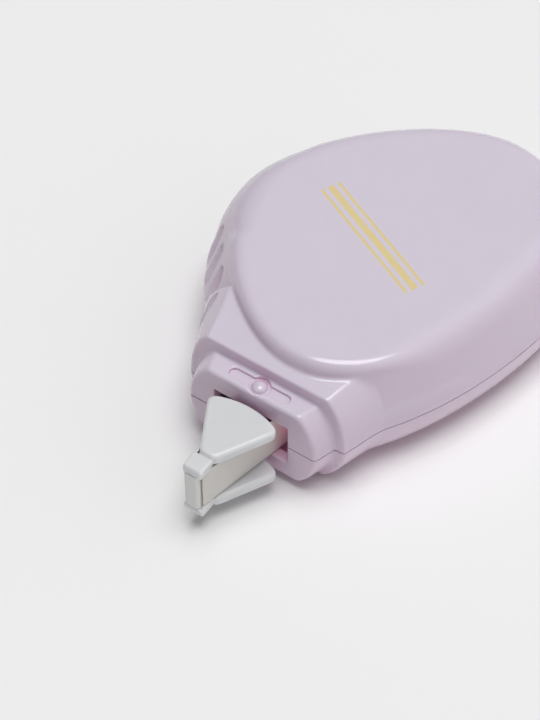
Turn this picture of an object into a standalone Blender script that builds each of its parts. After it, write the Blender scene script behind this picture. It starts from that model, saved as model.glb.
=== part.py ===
"""A pocket correction tape: two case halves, a white press head, a geared supply reel and a take-up spool.

Sizes are in millimetres. x runs back from the nozzle face, y towards the fluted grip side and z up
from the table.
"""

from math import asin, atan2, cos, hypot, pi, radians, sin, sqrt

import bmesh
import bpy

MM = 0.001

# Fits, the bite of joined pieces into each other, and how far a cutter stands out of what it cuts
CLEARANCE = 0.3
OVERLAP = 0.4
CUT_MARGIN = 1.0

# Tape
TAPE_WIDTH = 5.0
TAPE_THICKNESS = 0.14
TAPE_LENGTH = 5000.0
WOUND_THICKNESS = 0.05
TURN_STEPS = 5

# Heights of the case, stacked from the table up
WALL = 1.2
FOOT_DROP = 0.7
SHOULDER_STEP_BELOW = 0.5
LOWER_LIP = 2.1
MOUTH_PLAY = 0.4
UPPER_LIP = 2.4
SHOULDER_STEP = 1.9
DOME_RISE = 1.5
PARTING_DROP = 0.2

SHOULDER_BOTTOM = FOOT_DROP
NOZZLE_BOTTOM = SHOULDER_BOTTOM + SHOULDER_STEP_BELOW
MOUTH_BOTTOM = NOZZLE_BOTTOM + LOWER_LIP
TAPE_BOTTOM = MOUTH_BOTTOM + MOUTH_PLAY
TAPE_TOP = TAPE_BOTTOM + TAPE_WIDTH
MOUTH_TOP = TAPE_TOP + MOUTH_PLAY
NOZZLE_TOP = MOUTH_TOP + UPPER_LIP
SHOULDER_TOP = NOZZLE_TOP + SHOULDER_STEP
CASE_HEIGHT = SHOULDER_TOP + DOME_RISE
PARTING = TAPE_BOTTOM + TAPE_WIDTH / 2 - PARTING_DROP

# Egg-shaped body: the four points where its outline runs square to an axis, and how full each quarter is
FRONT_POLE = (1.9, -3.7)
PLAIN_POLE = (31.6, -17.8)
REAR_POLE = (43.0, -4.3)
GRIP_POLE = (20.7, 17.1)
BODY_FULLNESS = (0.465, 0.53, 0.422, 0.517)
QUARTER_STEPS = 12

# Dome: how far its outline steps in from each pole of the body, how late the wall leans in to it, its edge
DOME_FRONT_STEP = (2.5, 2.2)
DOME_PLAIN_STEP = (0.0, 2.5)
DOME_REAR_STEP = (-1.9, -0.6)
DOME_GRIP_STEP = (1.9, -2.6)
DOME_FULLNESS = (0.64, 0.53, 0.4, 0.43)
DOME_BEND = 1.25
DOME_EDGE = 1.2
DOME_STEPS = 5
EDGE_STEPS = 3

# Foot: how far the wall rounds in below the parting line, and how long its curve runs on
FOOT_INSET = 5.0
FOOT_FLAT_SHARE = 0.64
FOOT_UPRIGHT_SHARE = 0.57
FOOT_STEPS = 5

# Neck: shoulder block and nozzle block, half widths at the parting line and at the top and bottom faces
NOZZLE_DEPTH = 2.4
NOZZLE_HALF = 7.35
NOZZLE_TOP_HALF = 5.0
NOZZLE_FLARE = 0.32
SHOULDER_HALF = 9.2
SHOULDER_TOP_HALF = 6.7
SHOULDER_DEPTH = 4.6
SHOULDER_FLARE = 0.3
SHOULDER_TAIL = 3.5
NECK_WALL = 2.0
NECK_EDGE = 0.6
NECK_EDGE_SHARE = 0.3
FLANK_STEPS = 4

# Mouth, and the gate slot on the nozzle top
MOUTH_HALF = 4.45
SLOT_X = 1.15
SLOT_LENGTH = 6.8
SLOT_WIDTH = 1.2
SLOT_DEPTH = 0.5
GATE_DIAMETER = 2.5
GATE_DEPTH = 0.7
NUB_DIAMETER = 1.7
NUB_RISE = 0.6
NUB_LEVELS = (0.0, 0.5, 0.85, 1.0)
NUB_ROUNDING = 0.9

# Thumb flutes on the grip side: where they start, their pitch, size, slant along the wall and height
FLUTE_COUNT = 4
FLUTE_FIRST_X = 15.1
FLUTE_PITCH = 2.6
FLUTE_LENGTH = 5.4
FLUTE_WIDTH = 1.8
FLUTE_DEPTH = 0.45
FLUTE_BULGE = 1.1
FLUTE_SLANT = 15.0
FLUTE_HEIGHT = 4.2
FLUTE_STATIONS = 8
FLUTE_SIDES = 10

# White head: fan plates, web, flanged tip and tail
FAN_PLATE = 1.3
FAN_PLAY = 0.2
FAN_RADIUS = 8.8
FAN_HALF_ANGLE = 28.3
FAN_APEX_HALF = 1.05
FAN_FACE_GAP = 0.45
FAN_EDGE = 0.35
FAN_ARC_STEPS = 8
TIP_GAP = 0.9
TIP_LENGTH = 1.55
TIP_HALF = 0.95
TIP_SIDE = 0.5
TIP_FLANGE = 0.9
TIP_EDGE = 0.35
CORE_HALF = 0.45
CORE_SETBACK = 0.5
WEB_HALF = 1.5
TAIL_END = 3.0
TAIL_HALF = 1.05
TAIL_EYE_RADIUS = 1.7
TAIL_PLAY = 0.6
HEAD_POST_RADIUS = 0.8

# Gear train
MODULE = 0.5
SUPPLY_TEETH = 42
TAKE_UP_TEETH = 14
MESH_SPACE = 0.1
ADDENDUM = 0.4
DEDENDUM = 0.6
TOOTH_TIP_SHARE = 0.22
TOOTH_ROOT_SHARE = 0.52
SUPPLY_REACH = 17.3
SUPPLY_SIDE = -2.3
TRAIN_TURN = 6.0

# Reels and axle posts
SUPPLY_POST_RADIUS = 1.6
TAKE_UP_POST_RADIUS = 1.2
HUB_WALL = 1.2
RING_SECTION = 0.8
REEL_WALL = 0.7
SPENT_ROLL_DEPTH = 0.7
SPOOL_WALL = 0.9
CAP_THICKNESS = 0.8
CAP_RADIUS = 9.2
SPOOL_FLANGE_RADIUS = 4.4
POST_ENGAGE = 1.0
ROUND_STEPS = 40
SMALL_STEPS = 20
RING_SIDES = 8

# Guide posts and press pins of the case halves
GUIDE_X = 5.6
GUIDE_GRIP_Y = 4.7
GUIDE_PLAIN_Y = -2.0
GUIDE_RADIUS = 1.0
PIN_RADIUS = 1.0
PIN_REACH = 2.1
SOCKET_WALL = 0.7
REAR_PIN_INSET = 4.1
SIDE_PIN_INSET = 3.0
PIN_SITES = ((PLAIN_POLE, 1.0), (PLAIN_POLE, -19.0), (GRIP_POLE, -3.6))

# Sizes that follow from the ones above
BODY_POLES = (FRONT_POLE, PLAIN_POLE, REAR_POLE, GRIP_POLE)
DOME_POLE_STEPS = (DOME_FRONT_STEP, DOME_PLAIN_STEP, DOME_REAR_STEP, DOME_GRIP_STEP)
DOME_POLES = tuple((x + dx, y + dy) for (x, y), (dx, dy) in zip(BODY_POLES, DOME_POLE_STEPS))
DOME_LEAN = (DOME_PLAIN_STEP[1] - DOME_GRIP_STEP[1]) / 2
SUPPLY_PITCH = MODULE * SUPPLY_TEETH / 2
TAKE_UP_PITCH = MODULE * TAKE_UP_TEETH / 2
CENTRE_DISTANCE = SUPPLY_PITCH + TAKE_UP_PITCH + MESH_SPACE
SUPPLY_AXIS = (REAR_POLE[0] - SUPPLY_REACH, SUPPLY_SIDE)
TAKE_UP_AXIS = (
    SUPPLY_AXIS[0] - CENTRE_DISTANCE * cos(radians(TRAIN_TURN)),
    SUPPLY_AXIS[1] + CENTRE_DISTANCE * sin(radians(TRAIN_TURN)),
)
GEAR_BOTTOM = WALL + 2 * CLEARANCE
GEAR_TOP = TAPE_BOTTOM - 2 * CLEARANCE
REEL_BOTTOM = GEAR_TOP + CLEARANCE
REEL_TOP = TAPE_TOP + CLEARANCE
CAP_BOTTOM = REEL_TOP + CLEARANCE
CAP_TOP = CAP_BOTTOM + CAP_THICKNESS
BOSS_BOTTOM = CAP_TOP + CLEARANCE
POST_TOP = BOSS_BOTTOM + POST_ENGAGE
ROOF = CASE_HEIGHT - WALL

SUPPLY_BORE = SUPPLY_POST_RADIUS + CLEARANCE
HUB_RADIUS = SUPPLY_BORE + HUB_WALL
RING_INNER = HUB_RADIUS + CLEARANCE
REEL_BORE = RING_INNER + RING_SECTION + CLEARANCE
REEL_RADIUS = REEL_BORE + REEL_WALL
ROLL_INNER = REEL_RADIUS + CLEARANCE
ROLL_RADIUS = sqrt(ROLL_INNER**2 + TAPE_LENGTH * WOUND_THICKNESS / pi)
TAKE_UP_BORE = TAKE_UP_POST_RADIUS + CLEARANCE
SPOOL_RADIUS = TAKE_UP_BORE + SPOOL_WALL
SPENT_INNER = SPOOL_RADIUS + CLEARANCE
SPENT_RADIUS = SPENT_INNER + SPENT_ROLL_DEPTH

FAN_CENTRE = -FAN_FACE_GAP - FAN_RADIUS
FAN_APEX = FAN_CENTRE + FAN_APEX_HALF / sin(radians(FAN_HALF_ANGLE)) * cos(radians(FAN_HALF_ANGLE))
TIP_BACK = FAN_APEX - TIP_GAP
TIP_FRONT = TIP_BACK - TIP_LENGTH
CORE_FRONT = TIP_FRONT + CORE_SETBACK
CORE_PLAIN = TIP_SIDE - CORE_HALF
CORE_GRIP = TIP_SIDE + CORE_HALF

CENTRE_X = (TIP_FRONT + REAR_POLE[0]) / 2
CENTRE_Y = (GRIP_POLE[1] + PLAIN_POLE[1]) / 2

LILAC = (0.62, 0.55, 0.64)
WHITE = (0.80, 0.81, 0.82)
GREY_PLASTIC = (0.55, 0.56, 0.58)
NATURAL_PLASTIC = (0.82, 0.80, 0.74)
BLACK_RUBBER = (0.03, 0.03, 0.03)
FILM_WHITE = (0.85, 0.85, 0.84)
LINER_GREIGE = (0.47, 0.45, 0.42)


# Scene helpers


def clear_scene():
    for obj in list(bpy.data.objects):
        bpy.data.objects.remove(obj, do_unlink=True)


def material(name, colour, roughness):
    made = bpy.data.materials.new(name)
    made.use_nodes = True
    shader = made.node_tree.nodes["Principled BSDF"]
    shader.inputs["Base Color"].default_value = (*colour, 1.0)
    shader.inputs["Roughness"].default_value = roughness
    shader.inputs["Metallic"].default_value = 0.0
    return made


def empty(name, x, y, parent=None):
    made = bpy.data.objects.new(name, None)
    bpy.context.collection.objects.link(made)
    made.parent = parent
    made.location = (x * MM, y * MM, 0.0)
    return made


def loft(name, rings, parent, loop=False):
    """A closed solid over rings of equal length: capped at both ends, or joined round when loop is set."""
    mesh = bmesh.new()
    rows = [[mesh.verts.new([c * MM for c in point]) for point in ring] for ring in rings]
    count = len(rows[0])
    pairs = list(zip(rows, rows[1:] + rows[:1])) if loop else list(zip(rows, rows[1:]))
    for low, high in pairs:
        for i in range(count):
            j = (i + 1) % count
            mesh.faces.new((low[i], low[j], high[j], high[i]))
    if not loop:
        mesh.faces.new(rows[0][::-1])
        mesh.faces.new(rows[-1])
    bmesh.ops.recalc_face_normals(mesh, faces=mesh.faces)
    data = bpy.data.meshes.new(name)
    mesh.to_mesh(data)
    mesh.free()
    data.shade_smooth()
    data.set_sharp_from_angle(angle=radians(35))
    made = bpy.data.objects.new(name, data)
    bpy.context.collection.objects.link(made)
    made.parent = parent
    return made


def helper(obj):
    obj.hide_render = True
    obj.display_type = "WIRE"
    return obj


def combine(obj, operation, *others):
    for other in others:
        step = obj.modifiers.new(f"{operation.lower()} {other.name}", "BOOLEAN")
        step.operation = operation
        step.solver = "EXACT"
        step.object = helper(other)


def finish(obj, surface):
    obj.data.materials.clear()
    obj.data.materials.append(surface)
    return obj


# Shape helpers


def bezier(points, steps):
    """Points along a quadratic or cubic curve, both ends included."""
    order = len(points) - 1
    weights = (1, 2, 1) if order == 2 else (1, 3, 3, 1)
    curve = []
    for k in range(steps + 1):
        t = k / steps
        share = [w * (1 - t) ** (order - i) * t**i for i, w in enumerate(weights)]
        curve.append(tuple(sum(s * p[axis] for s, p in zip(share, points)) for axis in (0, 1)))
    return curve


def circle(radius, steps, centre=(0.0, 0.0)):
    angles = [2 * pi * k / steps for k in range(steps)]
    return [(centre[0] + radius * cos(a), centre[1] + radius * sin(a)) for a in angles]


def rectangle(left, right, low, high):
    return [(left, low), (right, low), (right, high), (left, high)]


def lift(outline, z):
    return [(x, y, z) for x, y in outline]


def shrink(outline, inset):
    """The closed outline moved inwards by inset, square to its own run. It turns counterclockwise."""
    moved = []
    for k, (x, y) in enumerate(outline):
        ahead = outline[(k + 1) % len(outline)]
        behind = outline[k - 1]
        run = (ahead[0] - behind[0], ahead[1] - behind[1])
        size = hypot(*run)
        moved.append((x - inset * run[1] / size, y + inset * run[0] / size))
    return moved


def prism(name, outline, bottom, top, parent, edge=0.0):
    """An upright solid over an outline, with its top and bottom edges cut back by edge."""
    rings = [lift(outline, bottom), lift(outline, top)]
    if edge:
        small = shrink(outline, edge)
        rings = [
            lift(small, bottom),
            lift(outline, bottom + edge),
            lift(outline, top - edge),
            lift(small, top),
        ]
    return loft(name, rings, parent)


def post(name, x, y, radius, bottom, top, parent):
    return prism(name, circle(radius, SMALL_STEPS, (x, y)), bottom, top, parent)


def tube(name, inner, outer, bottom, top, parent, steps=ROUND_STEPS):
    section = [(outer, bottom), (outer, top), (inner, top), (inner, bottom)]
    return loft(name, [lift(circle(r, steps), z) for r, z in section], parent, loop=True)


# Case outline and walls


def egg_outline(poles, fullness):
    """An egg through four poles, counterclockwise from the front one."""
    outline = []
    for k, full in enumerate(fullness):
        start = poles[k]
        end = poles[(k + 1) % 4]
        corner = (end[0], start[1]) if k % 2 else (start[0], end[1])
        toward = [tuple(a + full * (c - a) for a, c in zip(pole, corner)) for pole in (start, end)]
        outline += bezier((start, toward[0], toward[1], end), QUARTER_STEPS)[:-1]
    return outline


def wall_outline(share):
    """The body's outline where its wall is that share of the way in to the dome."""
    base = egg_outline(BODY_POLES, BODY_FULLNESS)
    dome = egg_outline(DOME_POLES, DOME_FULLNESS)
    return [tuple(a + share * (b - a) for a, b in zip(*pair)) for pair in zip(base, dome)]


def dome_share(height):
    """How far the wall has leaned in to the dome outline at a height above the parting line."""
    return ((height - PARTING) / (CASE_HEIGHT - PARTING)) ** DOME_BEND


def wall_levels():
    """Levels of the body wall from the table up, as (share of the way in to the dome, inset, height)."""
    foot_curve = (
        (FOOT_INSET, 0),
        (FOOT_INSET * (1 - FOOT_FLAT_SHARE), 0),
        (0, PARTING * (1 - FOOT_UPRIGHT_SHARE)),
        (0, PARTING),
    )
    rise = CASE_HEIGHT - PARTING
    heights = [PARTING + (rise - DOME_EDGE) * k / DOME_STEPS for k in range(1, DOME_STEPS + 1)]
    above = [(0.0, z) for z in heights]
    for k in range(1, EDGE_STEPS + 1):
        turn = pi / 2 * k / EDGE_STEPS
        above.append((DOME_EDGE * (1 - cos(turn)), CASE_HEIGHT - DOME_EDGE * (1 - sin(turn))))
    levels = [(0.0, inset, z) for inset, z in bezier(foot_curve, FOOT_STEPS)]
    return levels + [(dome_share(z), inset, z) for inset, z in above]


def wall_profile():
    """(inset, height) of the body wall at its mean lean, from the table up to the flat of the dome."""
    return [(share * DOME_LEAN + inset, z) for share, inset, z in wall_levels()]


def wall_height(inset):
    """Height at which the wall above the parting line has leaned in by inset."""
    profile = [point for point in wall_profile() if point[1] >= PARTING]
    for low, high in zip(profile, profile[1:]):
        if low[0] <= inset <= high[0]:
            return low[1] + (high[1] - low[1]) * (inset - low[0]) / (high[0] - low[0])
    return profile[-1][1]


def body_block(name, offset, parent):
    """The egg body as a solid, with its whole surface moved in by offset."""
    profile = wall_profile()
    rings = []
    for k, (share, inset, z) in enumerate(wall_levels()):
        before = profile[max(k - 1, 0)]
        after = profile[min(k + 1, len(profile) - 1)]
        run = (after[0] - before[0], after[1] - before[1])
        if k in (0, len(profile) - 1):
            run = (1.0 if k else -1.0, 0.0)
        size = hypot(*run)
        outline = wall_outline(share)
        rings.append(lift(shrink(outline, inset + offset * run[1] / size), z - offset * run[0] / size))
    return loft(name, rings, parent)


def neck_ring(x, half, flat_half, top, bottom):
    """A neck section: flat top and bottom, flanks that bend from 45 degrees to upright at the parting."""
    slope = half - flat_half
    upper = bezier(((flat_half, top), (half, top - slope), (half, PARTING)), FLANK_STEPS)
    lower = bezier(((half, PARTING), (half, bottom + slope), (flat_half, bottom)), FLANK_STEPS)
    flank = upper + lower[1:]
    return [(x, y, z) for y, z in flank] + [(x, -y, z) for y, z in reversed(flank)]


def neck_block(name, stations, top, bottom, inset, parent):
    """A neck block over (x, half width, flat half width) stations, moved in all round by inset."""
    rings = []
    for x, half, flat in stations:
        rings.append(neck_ring(x, half - inset, flat - inset, top - inset, bottom + inset))
    return loft(name, rings, parent)


def eased_front(x, half, flat):
    """Three stations that round the front edge of a neck block."""
    bend = NECK_EDGE * NECK_EDGE_SHARE
    return [
        (x, half - NECK_EDGE, flat - NECK_EDGE),
        (x + bend, half - bend, flat - bend),
        (x + NECK_EDGE, half, flat),
    ]


def nozzle_stations(front=0.0):
    end = NOZZLE_DEPTH + 2 * WALL
    back = (end, NOZZLE_HALF + NOZZLE_FLARE * end, NOZZLE_TOP_HALF + NOZZLE_FLARE * end)
    return eased_front(front, NOZZLE_HALF, NOZZLE_TOP_HALF) + [back]


def shoulder_stations(front=NOZZLE_DEPTH):
    spread = SHOULDER_FLARE * SHOULDER_DEPTH
    middle = (NOZZLE_DEPTH + SHOULDER_DEPTH, SHOULDER_HALF + spread, SHOULDER_TOP_HALF + spread)
    back = (middle[0] + SHOULDER_TAIL, SHOULDER_HALF, SHOULDER_TOP_HALF)
    return eased_front(front, SHOULDER_HALF, SHOULDER_TOP_HALF) + [middle, back]


def shoulder_at(x, z):
    """Half width of the shoulder block at a place and height, nothing where it has ended."""
    stations = shoulder_stations()
    for low, high in zip(stations, stations[1:]):
        if low[0] <= x <= high[0]:
            share = (x - low[0]) / (high[0] - low[0])
            half, flat = [a + share * (b - a) for a, b in zip(low[1:], high[1:])]
            ring = neck_ring(x, half, flat, SHOULDER_TOP, SHOULDER_BOTTOM)
            for (_, y0, z0), (_, y1, z1) in zip(ring, ring[1:]):
                if z1 < z <= z0:
                    return y0 + (y1 - y0) * (z0 - z) / (z0 - z1)
    return 0.0


def outline_at(x, pole, share=0.0):
    """The wall's y and heading at x, on the side where the pole lies."""
    outline = wall_outline(share)
    for (x0, y0), (x1, y1) in zip(outline, outline[1:] + outline[:1]):
        if min(x0, x1) <= x <= max(x0, x1) and (y0 + y1) * pole[1] > 0:
            return y0 + (y1 - y0) * (x - x0) / (x1 - x0), atan2(y1 - y0, x1 - x0)
    raise ValueError(f"x {x} lies outside the body")


def pin_places():
    """Centres of the press pins and how far each is set in from the outline."""
    places = [(REAR_POLE[0] - REAR_PIN_INSET, REAR_POLE[1], REAR_PIN_INSET)]
    for pole, along in PIN_SITES:
        x = pole[0] + along
        y, heading = outline_at(x, pole)
        inward = (-SIDE_PIN_INSET * sin(heading), SIDE_PIN_INSET * cos(heading))
        places.append((x + inward[0], y + inward[1], SIDE_PIN_INSET))
    return places


def grip_wall(x, z):
    """The grip side's y at a place and height: the egg wall or the shoulder flank, whichever stands out."""
    return max(outline_at(x, GRIP_POLE, dome_share(z))[0], shoulder_at(x, z))


def flute_cutter(index, root):
    """One leaf-shaped scallop, laid along the leaning wall."""
    half = FLUTE_LENGTH / 2
    reach = FLUTE_WIDTH / 2
    height = PARTING + FLUTE_HEIGHT
    x = FLUTE_FIRST_X - FLUTE_PITCH * index
    y = grip_wall(x, height)
    heading = atan2(grip_wall(x - reach, height) - grip_wall(x + reach, height), -2 * reach)
    rise = grip_wall(x, height + half) - grip_wall(x, height - half)
    lean = atan2(rise * cos(heading), FLUTE_LENGTH)
    rings = []
    for k in range(1, FLUTE_STATIONS):
        along = -half + FLUTE_LENGTH * k / FLUTE_STATIONS
        swell = sqrt(1 - (along / half) ** 2)
        round_ring = circle(swell, FLUTE_SIDES)
        rings.append([(FLUTE_BULGE * a, FLUTE_WIDTH / 2 * b, along) for a, b in round_ring])
    cutter = loft(f"flute_{index}", rings, root)
    out = FLUTE_BULGE - FLUTE_DEPTH
    cutter.location = ((x + out * sin(heading)) * MM, (y - out * cos(heading)) * MM, height * MM)
    cutter.rotation_euler = (radians(FLUTE_SLANT), -lean, heading - pi / 2)
    return cutter


def case_half(name, upper, root):
    """One half of the case as a bare shell: body, shoulder and nozzle, cut at the parting and hollowed."""
    shoulder_heights = (SHOULDER_TOP, SHOULDER_BOTTOM)
    nozzle_heights = (NOZZLE_TOP, NOZZLE_BOTTOM)
    shell = body_block(name, 0.0, root)
    shoulder = neck_block(f"{name}_shoulder", shoulder_stations(), *shoulder_heights, 0.0, root)
    nozzle = neck_block(f"{name}_nozzle", nozzle_stations(), *nozzle_heights, 0.0, root)
    combine(shell, "UNION", shoulder, nozzle)
    hollow = body_block(f"{name}_hollow", WALL, root)
    inner_shoulder = shoulder_stations(NOZZLE_DEPTH + WALL)
    neck = neck_block(f"{name}_neck_hollow", inner_shoulder, *shoulder_heights, NECK_WALL, root)
    throat = neck_block(f"{name}_throat", nozzle_stations(WALL), *nozzle_heights, WALL, root)
    mouth_plan = rectangle(-CUT_MARGIN, NOZZLE_DEPTH, -MOUTH_HALF, MOUTH_HALF)
    mouth = prism(f"{name}_mouth", mouth_plan, MOUTH_BOTTOM, MOUTH_TOP, root)
    combine(shell, "DIFFERENCE", hollow, neck, throat, mouth)
    low_side = PLAIN_POLE[1] - CUT_MARGIN
    high_side = GRIP_POLE[1] + CUT_MARGIN
    around = rectangle(-CUT_MARGIN, REAR_POLE[0] + CUT_MARGIN, low_side, high_side)
    if upper:
        other = prism(f"{name}_cut", around, -CUT_MARGIN, PARTING + CLEARANCE / 2, root)
    else:
        other = prism(f"{name}_cut", around, PARTING - CLEARANCE / 2, CASE_HEIGHT + CUT_MARGIN, root)
    combine(shell, "DIFFERENCE", other)
    return shell


def make_upper_case(root, surface):
    shell = case_half("upper_case", True, root)
    bosses = []
    bores = []
    axles = (("supply", SUPPLY_AXIS, SUPPLY_BORE), ("take_up", TAKE_UP_AXIS, TAKE_UP_BORE))
    for label, (x, y), bore in axles:
        bosses.append(post(f"{label}_boss", x, y, bore + SOCKET_WALL, BOSS_BOTTOM, ROOF + OVERLAP, root))
        bore_top = POST_TOP + CLEARANCE
        bores.append(post(f"{label}_bore", x, y, bore, BOSS_BOTTOM - CUT_MARGIN, bore_top, root))
    bore = PIN_RADIUS + CLEARANCE
    bore_top = PARTING + PIN_REACH + CLEARANCE
    for k, (x, y, inset) in enumerate(pin_places()):
        top = wall_height(inset - bore - SOCKET_WALL - CLEARANCE)
        bosses.append(post(f"socket_{k}", x, y, bore + SOCKET_WALL, PARTING + CLEARANCE, top, root))
        bores.append(post(f"socket_bore_{k}", x, y, bore, PARTING - CUT_MARGIN, bore_top, root))
    combine(shell, "UNION", *bosses)
    combine(shell, "DIFFERENCE", *bores)
    slot_floor = NOZZLE_TOP - SLOT_DEPTH
    gate_floor = NOZZLE_TOP - GATE_DEPTH
    cut_top = NOZZLE_TOP + CUT_MARGIN
    straight = (SLOT_LENGTH - SLOT_WIDTH) / 2
    ends = [circle(SLOT_WIDTH / 2, SMALL_STEPS, (SLOT_X, side)) for side in (-straight, straight)]
    half = SMALL_STEPS // 2
    slot_plan = ends[1][: half + 1] + ends[0][half:] + ends[0][:1]
    slot = prism("gate_slot", slot_plan, slot_floor, cut_top, root)
    gate = post("gate_recess", SLOT_X, 0, GATE_DIAMETER / 2, gate_floor, cut_top, root)
    combine(shell, "DIFFERENCE", slot, gate)
    nub_radius = NUB_DIAMETER / 2
    nub_levels = [(nub_radius, gate_floor - OVERLAP)]
    for level in NUB_LEVELS:
        nub_levels.append((nub_radius * sqrt(1 - NUB_ROUNDING * level**2), gate_floor + NUB_RISE * level))
    nub_rings = [lift(circle(radius, SMALL_STEPS, (SLOT_X, 0)), z) for radius, z in nub_levels]
    combine(shell, "UNION", loft("gate_nub", nub_rings, root))
    combine(shell, "DIFFERENCE", *[flute_cutter(k, root) for k in range(FLUTE_COUNT)])
    return finish(shell, surface)


def make_lower_case(root, surface):
    shell = case_half("lower_case", False, root)
    floor = WALL - OVERLAP
    neck_floor = SHOULDER_BOTTOM + WALL - OVERLAP
    posts = [
        post("supply_post", *SUPPLY_AXIS, SUPPLY_POST_RADIUS, floor, POST_TOP, root),
        post("take_up_post", *TAKE_UP_AXIS, TAKE_UP_POST_RADIUS, floor, POST_TOP, root),
        post("head_post", TAIL_END, 0, HEAD_POST_RADIUS, neck_floor, TAPE_TOP, root),
        post("guide_post_grip", GUIDE_X, GUIDE_GRIP_Y, GUIDE_RADIUS, floor, REEL_TOP, root),
        post("guide_post_plain", GUIDE_X, GUIDE_PLAIN_Y, GUIDE_RADIUS, floor, REEL_TOP, root),
    ]
    for k, (x, y, _) in enumerate(pin_places()):
        posts.append(post(f"pin_{k}", x, y, PIN_RADIUS, WALL, PARTING + PIN_REACH, root))
    combine(shell, "UNION", *posts)
    return finish(shell, surface)


# White head


def fan_outline():
    turn = radians(FAN_HALF_ANGLE)
    apex = [(FAN_APEX, FAN_APEX_HALF), (FAN_APEX, -FAN_APEX_HALF)]
    angles = [-turn + 2 * turn * k / FAN_ARC_STEPS for k in range(FAN_ARC_STEPS + 1)]
    return apex + [(FAN_CENTRE + FAN_RADIUS * cos(a), FAN_RADIUS * sin(a)) for a in angles]


def make_tip_head(root, surface):
    low_plate = TAPE_BOTTOM - FAN_PLAY
    high_plate = TAPE_TOP + FAN_PLAY
    outline = fan_outline()
    head = prism("tip_head", outline, high_plate, high_plate + FAN_PLATE, root, FAN_EDGE)
    lower = prism("lower_fan", outline, low_plate - FAN_PLATE, low_plate, root, FAN_EDGE)
    web_end = -FAN_FACE_GAP
    web_plan = [
        (CORE_FRONT, CORE_PLAIN),
        (FAN_APEX, CORE_PLAIN),
        (web_end, -WEB_HALF),
        (web_end, WEB_HALF),
        (FAN_APEX, CORE_GRIP),
        (CORE_FRONT, CORE_GRIP),
    ]
    web = prism("web", web_plan, low_plate - OVERLAP, high_plate + OVERLAP, root)
    flange_plan = rectangle(TIP_FRONT, TIP_BACK, TIP_SIDE - TIP_HALF, TIP_SIDE + TIP_HALF)
    flanges = [
        prism("upper_flange", flange_plan, high_plate, high_plate + TIP_FLANGE, root, TIP_EDGE),
        prism("lower_flange", flange_plan, low_plate - TIP_FLANGE, low_plate, root, TIP_EDGE),
    ]
    tail_bottom = TAPE_BOTTOM + TAIL_PLAY
    tail_top = TAPE_TOP - TAIL_PLAY
    tail_plan = rectangle(web_end - OVERLAP, TAIL_END, -TAIL_HALF, TAIL_HALF)
    tail = prism("tail", tail_plan, tail_bottom, tail_top, root)
    eye = post("tail_eye", TAIL_END, 0, TAIL_EYE_RADIUS, tail_bottom, tail_top, root)
    eye_bore = post("tail_eye_bore", TAIL_END, 0, HEAD_POST_RADIUS + CLEARANCE, 0, CASE_HEIGHT, root)
    combine(head, "UNION", lower, web, *flanges, tail, eye)
    combine(head, "DIFFERENCE", eye_bore)
    return finish(head, surface)


# Gears and reels


def gear_outline(teeth, facing, tooth_there):
    """A toothed outline with a tooth, or a gap, centred on the facing angle."""
    pitch_radius = MODULE * teeth / 2
    pitch = 2 * pi / teeth
    start = facing if tooth_there else facing + pitch / 2
    outline = []
    for k in range(teeth):
        middle = start + pitch * k
        root_radius = pitch_radius - DEDENDUM
        tip_radius = pitch_radius + ADDENDUM
        corners = (
            (root_radius, -TOOTH_ROOT_SHARE),
            (tip_radius, -TOOTH_TIP_SHARE),
            (tip_radius, TOOTH_TIP_SHARE),
            (root_radius, TOOTH_ROOT_SHARE),
        )
        for radius, share in corners:
            angle = middle + pitch * share / 2
            outline.append((radius * cos(angle), radius * sin(angle)))
    return outline


def make_gear(name, outline, bore, sleeve, axis, surface):
    gear = prism(name, outline, GEAR_BOTTOM, GEAR_TOP, axis)
    hub = prism(f"{name}_hub", circle(sleeve, SMALL_STEPS), GEAR_TOP - OVERLAP, REEL_TOP, axis)
    hole = prism(f"{name}_bore", circle(bore, SMALL_STEPS), 0, CASE_HEIGHT, axis)
    combine(gear, "UNION", hub)
    combine(gear, "DIFFERENCE", hole)
    return finish(gear, surface)


def make_clutch_ring(axis, surface):
    middle = RING_INNER + RING_SECTION / 2
    height = (TAPE_BOTTOM + TAPE_TOP) / 2
    rings = []
    for y, z in circle(RING_SECTION / 2, RING_SIDES):
        rings.append(lift(circle(middle + y, ROUND_STEPS), height + z))
    return finish(loft("clutch_ring", rings, axis, loop=True), surface)


# Tape path


def line_heading(first, second):
    """Heading of the straight run between two turns, each given as (centre, radius, turn sense)."""
    dx = second[0][0] - first[0][0]
    dy = second[0][1] - first[0][1]
    offset = first[1] * first[2] - second[1] * second[2]
    return atan2(dy, dx) + asin(offset / hypot(dx, dy))


def point_on(turn, heading):
    centre, radius, sense = turn
    return (centre[0] + sense * radius * sin(heading), centre[1] - sense * radius * cos(heading))


def tape_path(turns):
    """A path that leaves the first turn, wraps the ones between and reaches the last."""
    headings = [line_heading(a, b) for a, b in zip(turns, turns[1:])]
    path = [point_on(turns[0], headings[0])]
    for turn, before, after in zip(turns[1:-1], headings, headings[1:]):
        sweep = (after - before) % (2 * pi) if turn[2] > 0 else -((before - after) % (2 * pi))
        path += [point_on(turn, before + sweep * k / TURN_STEPS) for k in range(TURN_STEPS + 1)]
    path.append(point_on(turns[-1], headings[-1]))
    return path


def ribbon(name, path, root, surface):
    """A thin upright band that follows a path."""
    half = TAPE_THICKNESS / 2
    sides = ([], [])
    for k, (x, y) in enumerate(path):
        before = path[max(k - 1, 0)]
        after = path[min(k + 1, len(path) - 1)]
        run = (after[0] - before[0], after[1] - before[1])
        size = hypot(*run)
        for side, sign in zip(sides, (1, -1)):
            side.append((x - sign * half * run[1] / size, y + sign * half * run[0] / size))
    rings = []
    for left, right in zip(*sides):
        rings.append([(*left, TAPE_BOTTOM), (*right, TAPE_BOTTOM), (*right, TAPE_TOP), (*left, TAPE_TOP)])
    return finish(loft(name, rings, root), surface)


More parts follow.
